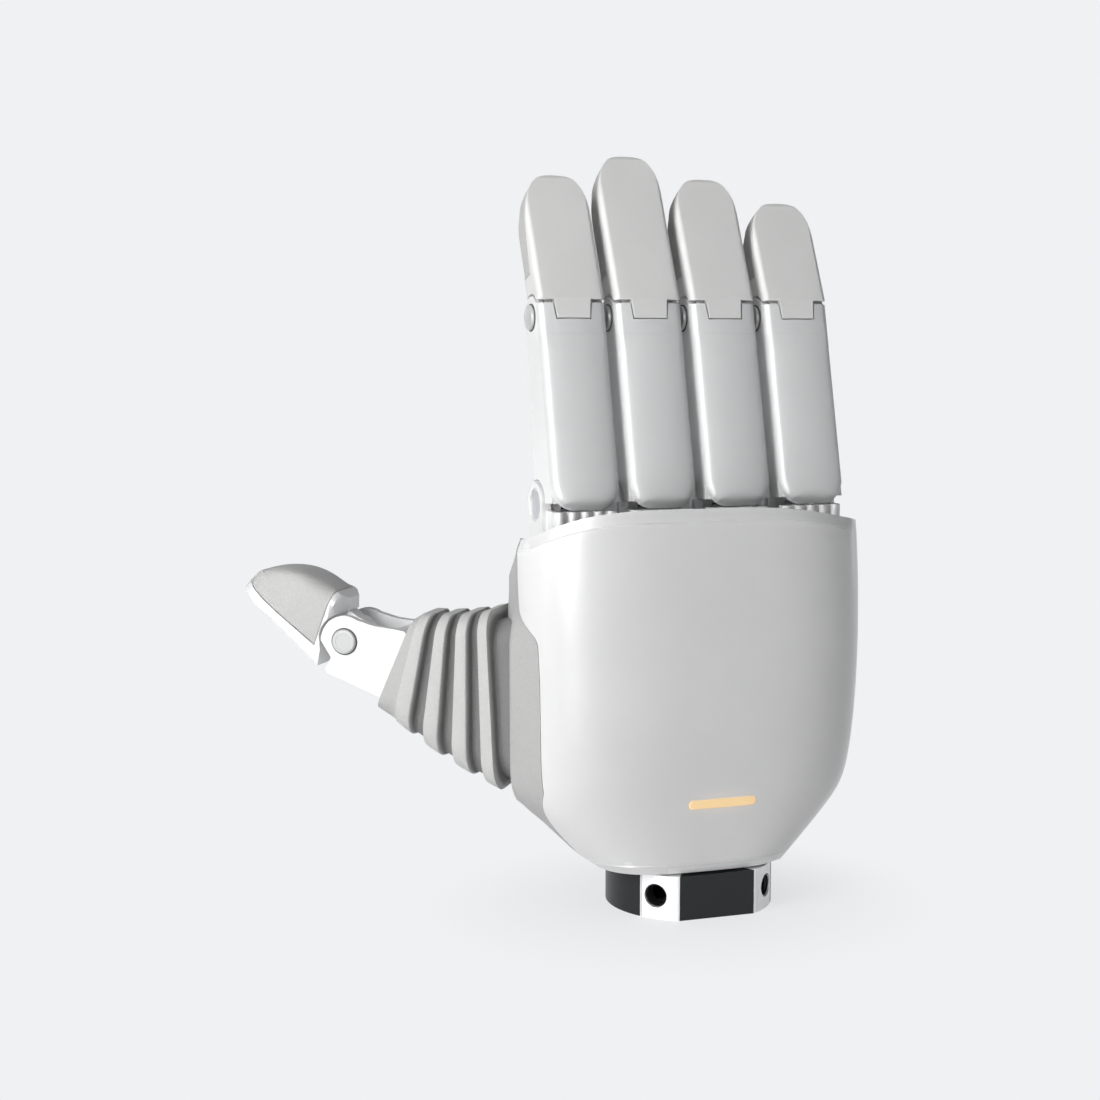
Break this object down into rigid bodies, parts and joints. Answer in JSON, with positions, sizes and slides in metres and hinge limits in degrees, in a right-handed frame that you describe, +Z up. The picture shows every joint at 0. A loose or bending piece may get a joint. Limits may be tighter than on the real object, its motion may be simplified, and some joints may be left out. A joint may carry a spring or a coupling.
{
  "type": "dexterous robot hand",
  "caption": "Right-handed dexterous robot hand with jointed fingers, an opposable thumb in a bellows, a two-part palm housing and a round wrist spigot",
  "frame": {"origin": "centre of the wrist spigot's lower face", "axes": "+Z up along the fingers, +X towards the little finger, -Y out of the back of the hand"},
  "size_m": [0.1475, 0.0728, 0.1872],
  "materials": {
    "shell_white": "gloss injection-moulded shell with a fine sheen",
    "link_white": "satin white coat on cast aluminium",
    "cover_grey": "fine satin texture",
    "tip_white": "satin light grey shell",
    "pad_grey": "fine-grained soft elastomer",
    "skin_grey": "grained elastomer skin",
    "flange_black": "black anodised, satin",
    "frame_dark": "dark anodised",
    "steel": "turned and ground",
    "pin_white": "satin cap",
    "motor_can": "drawn can, satin",
    "board": "solder-masked laminate",
    "light": "frosted diffuser, lit amber"
  },
  "bodies": {
    "palm": {"wrist_flange": "flange_black", "contact_plate": "board", "palm_frame": "frame_dark", "back_shell": "shell_white", "palm_shell": "skin_grey", "light_bar": "light", "control_board": "board", "finger_actuators": "motor_can", "thumb_actuator": "motor_can", "shell_screws": "steel", "swing_pins": "steel", "thumb_pivot_pin": "steel", "bellows_root": "skin_grey", "middle_knuckle": "link_white", "middle_axle": "steel"},
    "index_knuckle": {"index_knuckle": "link_white", "index_axle": "steel"},
    "index_phalanx": {"index_phalanx": "link_white", "index_cover": "cover_grey", "index_phalanx_pad": "pad_grey", "index_pin": "pin_white"},
    "index_tip": {"index_tip_shell": "tip_white", "index_tip_pad": "pad_grey"},
    "index_coupler": {"index_coupler": "steel"},
    "index_drive_rod": {"index_drive_rod": "steel"},
    "middle_phalanx": {"middle_phalanx": "link_white", "middle_cover": "cover_grey", "middle_phalanx_pad": "pad_grey", "middle_pin": "pin_white"},
    "middle_tip": {"middle_tip_shell": "tip_white", "middle_tip_pad": "pad_grey"},
    "middle_coupler": {"middle_coupler": "steel"},
    "middle_drive_rod": {"middle_drive_rod": "steel"},
    "ring_knuckle": {"ring_knuckle": "link_white", "ring_axle": "steel"},
    "ring_phalanx": {"ring_phalanx": "link_white", "ring_cover": "cover_grey", "ring_phalanx_pad": "pad_grey", "ring_pin": "pin_white"},
    "ring_tip": {"ring_tip_shell": "tip_white", "ring_tip_pad": "pad_grey"},
    "ring_coupler": {"ring_coupler": "steel"},
    "ring_drive_rod": {"ring_drive_rod": "steel"},
    "little_knuckle": {"little_knuckle": "link_white", "little_axle": "steel"},
    "little_phalanx": {"little_phalanx": "link_white", "little_cover": "cover_grey", "little_phalanx_pad": "pad_grey", "little_pin": "pin_white"},
    "little_tip": {"little_tip_shell": "tip_white", "little_tip_pad": "pad_grey"},
    "little_coupler": {"little_coupler": "steel"},
    "little_drive_rod": {"little_drive_rod": "steel"},
    "thumb_carrier": {"thumb_carrier": "steel", "thumb_base_pin": "steel"},
    "thumb_link": {"thumb_link": "link_white", "thumb_pin": "pin_white", "bellows_neck": "skin_grey"},
    "thumb_tip": {"thumb_tip_shell": "tip_white", "thumb_tip_pad": "pad_grey"}
  },
  "joints": [
    {"name": "index_swing", "type": "hinge", "parent": "palm", "child": "index_knuckle", "pos_m": [-0.03, 0.005, 0.0878], "axis": [0, -1, 0], "range_deg": [0, 12]},
    {"name": "index_bend", "type": "hinge", "parent": "index_knuckle", "child": "index_phalanx", "pos_m": [-0.03, 0.005, 0.1008], "axis": [-1, 0, 0], "range_deg": [0, 75]},
    {"name": "index_tip_bend", "type": "hinge", "parent": "index_phalanx", "child": "index_tip", "pos_m": [-0.03, 0.00968, 0.14642], "axis": [-1, 0, 0], "range_deg": [0, 86.75]},
    {"name": "index_coupler_turn", "type": "hinge", "parent": "index_knuckle", "child": "index_coupler", "pos_m": [-0.03, 0.00864, 0.0987], "axis": [-1, 0, 0], "range_deg": [0, 78.5]},
    {"name": "index_rod_slide", "type": "slide", "parent": "palm", "child": "index_drive_rod", "axis": [0, 0, 1], "range_m": [0, 0.0062]},
    {"name": "middle_bend", "type": "hinge", "parent": "palm", "child": "middle_phalanx", "pos_m": [-0.01, 0.005, 0.1008], "axis": [-1, 0, 0], "range_deg": [0, 75]},
    {"name": "middle_tip_bend", "type": "hinge", "parent": "middle_phalanx", "child": "middle_tip", "pos_m": [-0.01, 0.00968, 0.14642], "axis": [-1, 0, 0], "range_deg": [0, 86.75]},
    {"name": "middle_coupler_turn", "type": "hinge", "parent": "palm", "child": "middle_coupler", "pos_m": [-0.01, 0.00864, 0.0987], "axis": [-1, 0, 0], "range_deg": [0, 78.5]},
    {"name": "middle_rod_slide", "type": "slide", "parent": "palm", "child": "middle_drive_rod", "axis": [0, 0, 1], "range_m": [0, 0.0062]},
    {"name": "ring_swing", "type": "hinge", "parent": "palm", "child": "ring_knuckle", "pos_m": [0.01, 0.005, 0.0878], "axis": [0, 1, 0], "range_deg": [0, 5.5]},
    {"name": "ring_bend", "type": "hinge", "parent": "ring_knuckle", "child": "ring_phalanx", "pos_m": [0.01, 0.005, 0.1008], "axis": [-1, 0, 0], "range_deg": [0, 75]},
    {"name": "ring_tip_bend", "type": "hinge", "parent": "ring_phalanx", "child": "ring_tip", "pos_m": [0.01, 0.00968, 0.14642], "axis": [-1, 0, 0], "range_deg": [0, 86.75]},
    {"name": "ring_coupler_turn", "type": "hinge", "parent": "ring_knuckle", "child": "ring_coupler", "pos_m": [0.01, 0.00864, 0.0987], "axis": [-1, 0, 0], "range_deg": [0, 78.5]},
    {"name": "ring_rod_slide", "type": "slide", "parent": "palm", "child": "ring_drive_rod", "axis": [0, 0, 1], "range_m": [0, 0.0062]},
    {"name": "little_swing", "type": "hinge", "parent": "palm", "child": "little_knuckle", "pos_m": [0.03, 0.005, 0.0878], "axis": [0, 1, 0], "range_deg": [0, 11]},
    {"name": "little_bend", "type": "hinge", "parent": "little_knuckle", "child": "little_phalanx", "pos_m": [0.03, 0.005, 0.1008], "axis": [-1, 0, 0], "range_deg": [0, 75]},
    {"name": "little_tip_bend", "type": "hinge", "parent": "little_phalanx", "child": "little_tip", "pos_m": [0.03, 0.00968, 0.14642], "axis": [-1, 0, 0], "range_deg": [0, 86.75]},
    {"name": "little_coupler_turn", "type": "hinge", "parent": "little_knuckle", "child": "little_coupler", "pos_m": [0.03, 0.00864, 0.0987], "axis": [-1, 0, 0], "range_deg": [0, 78.5]},
    {"name": "little_rod_slide", "type": "slide", "parent": "palm", "child": "little_drive_rod", "axis": [0, 0, 1], "range_m": [0, 0.0062]},
    {"name": "thumb_swing", "type": "hinge", "parent": "palm", "child": "thumb_carrier", "pos_m": [-0.04564, 0.00815, 0.053], "axis": [0, 0, 1], "range_deg": [-55, 8], "deforming": ["bellows_root"]},
    {"name": "thumb_bend", "type": "hinge", "parent": "thumb_carrier", "child": "thumb_link", "pos_m": [-0.05842, 0.01709, 0.0566], "axis": [0.5736, 0.8192, 0], "range_deg": [0, 40], "deforming": ["bellows_neck"]},
    {"name": "thumb_tip_bend", "type": "hinge", "parent": "thumb_link", "child": "thumb_tip", "pos_m": [-0.07816, 0.03092, 0.06634], "axis": [0.5736, 0.8192, 0], "range_deg": [0, 48.5]}
  ],
  "couplings": [
    {"joint": "index_tip_bend", "follows": "index_bend", "ratio": 1.15},
    {"joint": "index_coupler_turn", "follows": "index_bend", "ratio": 1.04},
    {"joint": "index_rod_slide", "follows": "index_bend", "m_per_rad": 0.0045},
    {"joint": "middle_tip_bend", "follows": "middle_bend", "ratio": 1.15},
    {"joint": "middle_coupler_turn", "follows": "middle_bend", "ratio": 1.04},
    {"joint": "middle_rod_slide", "follows": "middle_bend", "m_per_rad": 0.0045},
    {"joint": "ring_swing", "follows": "little_swing", "ratio": 0.5},
    {"joint": "ring_tip_bend", "follows": "ring_bend", "ratio": 1.15},
    {"joint": "ring_coupler_turn", "follows": "ring_bend", "ratio": 1.04},
    {"joint": "ring_rod_slide", "follows": "ring_bend", "m_per_rad": 0.0045},
    {"joint": "little_tip_bend", "follows": "little_bend", "ratio": 1.15},
    {"joint": "little_coupler_turn", "follows": "little_bend", "ratio": 1.04},
    {"joint": "little_rod_slide", "follows": "little_bend", "m_per_rad": 0.0045},
    {"joint": "thumb_tip_bend", "follows": "thumb_bend", "ratio": 1.2}
  ]
}
